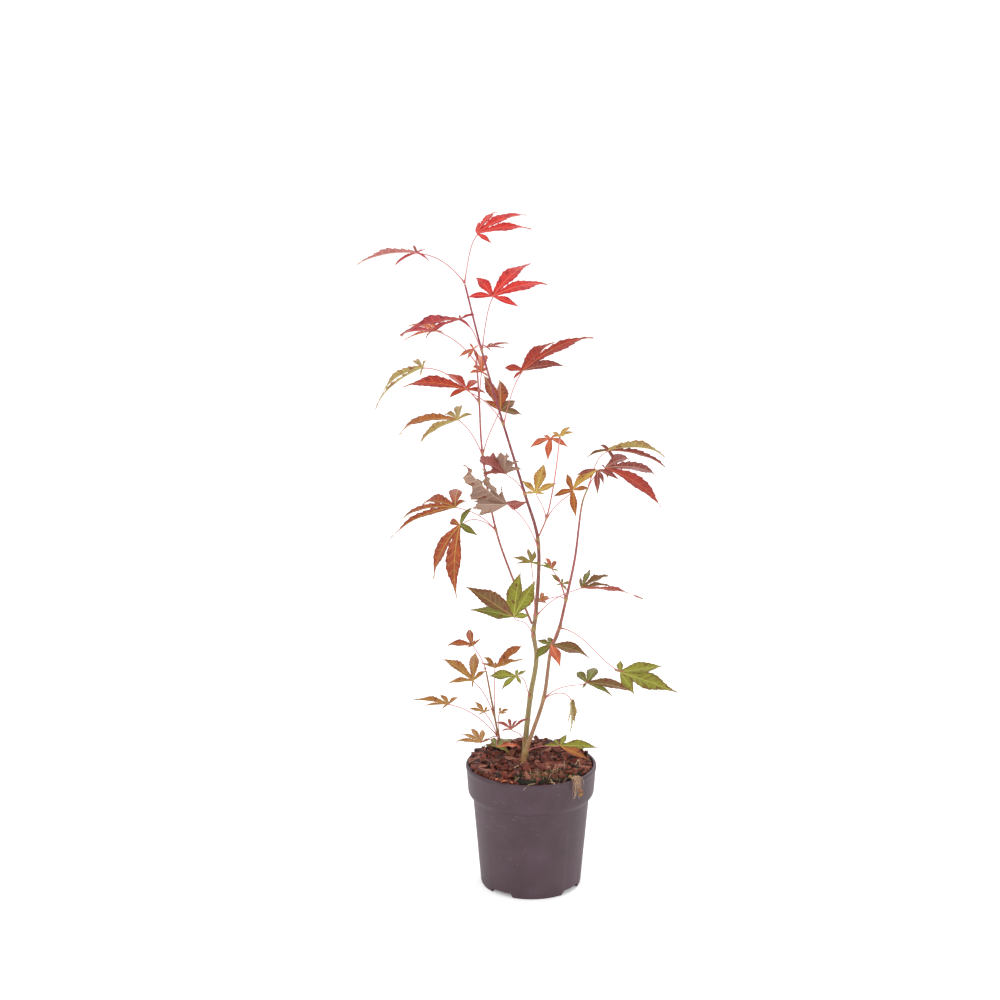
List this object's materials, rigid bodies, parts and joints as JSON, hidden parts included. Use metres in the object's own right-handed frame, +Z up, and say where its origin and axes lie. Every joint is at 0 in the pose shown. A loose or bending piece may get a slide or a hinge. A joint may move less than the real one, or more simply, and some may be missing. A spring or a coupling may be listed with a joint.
{
  "type": "potted Japanese maple seedling",
  "caption": "Young Japanese maple with slim stems and red to green palmate leaves in a round plastic nursery pot with bark mulch.",
  "frame": {"origin": "centre of the pot's flat underside, on the plane that the pot stands on", "axes": "+Z up along the pot's axis; the leader leans towards -X and the right-hand stem towards +X; -Y is the front"},
  "size_m": [0.3042, 0.1767, 0.6662],
  "materials": {
    "pot_plastic": "matte",
    "compost": "matte",
    "bark_mulch": "matte",
    "stem_bark": "satin",
    "foliage": "matte"
  },
  "bodies": {
    "root": {"pot": "pot_plastic", "compost": "compost", "bark_mulch": "bark_mulch", "leader": "stem_bark", "left_bough": "stem_bark", "right_stem": "stem_bark", "side_twig": "stem_bark", "basal_shoot": "stem_bark", "spray_crown_tip": "foliage", "spray_crown_upper": "foliage", "spray_crown_middle": "foliage", "spray_crown_lower": "foliage", "spray_twig_fork": "foliage", "spray_leader_middle": "foliage", "spray_bough_fork": "foliage", "spray_leader_lower": "foliage", "spray_leader_foot": "foliage", "spray_left_lower": "foliage", "spray_left_middle": "foliage", "spray_left_upper": "foliage", "spray_left_tip": "foliage", "spray_right_foot": "foliage", "spray_right_lower": "foliage", "spray_right_middle": "foliage", "spray_right_upper": "foliage", "spray_right_tip": "foliage", "spray_twig_middle": "foliage", "spray_twig_tip": "foliage", "spray_shoot_foot": "foliage", "spray_shoot_middle": "foliage", "spray_shoot_tip": "foliage"}
  },
  "joints": []
}
